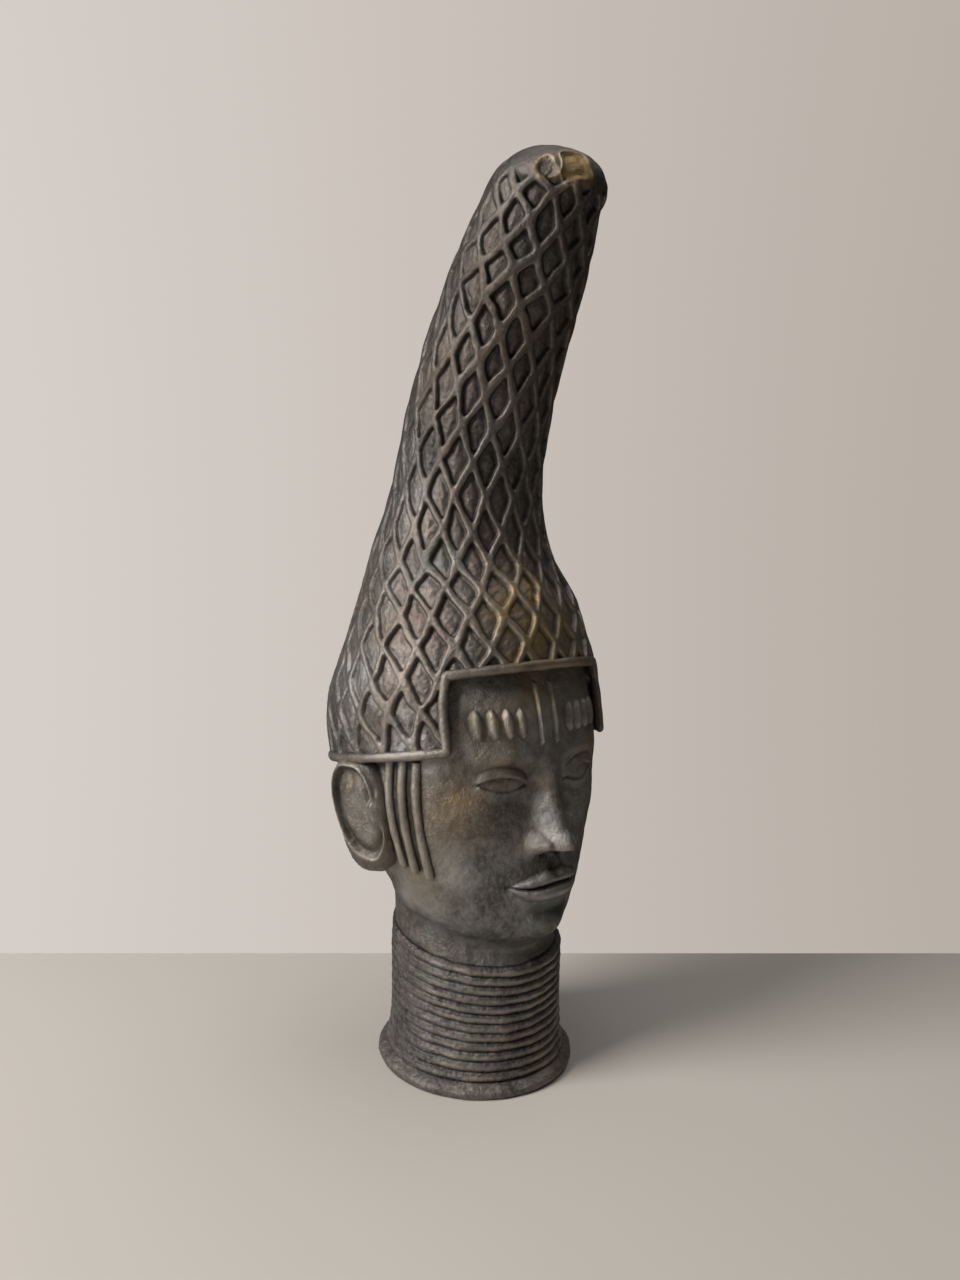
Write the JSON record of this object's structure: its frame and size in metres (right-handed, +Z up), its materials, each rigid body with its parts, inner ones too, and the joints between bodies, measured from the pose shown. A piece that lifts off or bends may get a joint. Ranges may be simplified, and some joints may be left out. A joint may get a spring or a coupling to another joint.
{
  "type": "african bust",
  "caption": "Cast bronze bust of a head wearing a tall forward-curving netted cap, on a collar of stacked rings with a flared foot.",
  "frame": {"origin": "centre of the flat underside of the collar's foot", "axes": "+Z up along the height, -Y the way the face looks, +X the figure's left"},
  "size_m": [0.185, 0.1943, 0.5486],
  "materials": {
    "bronze": "dark brown patina, worn bright on the raised edges"
  },
  "bodies": {
    "root": {"bust": "bronze"}
  },
  "joints": []
}
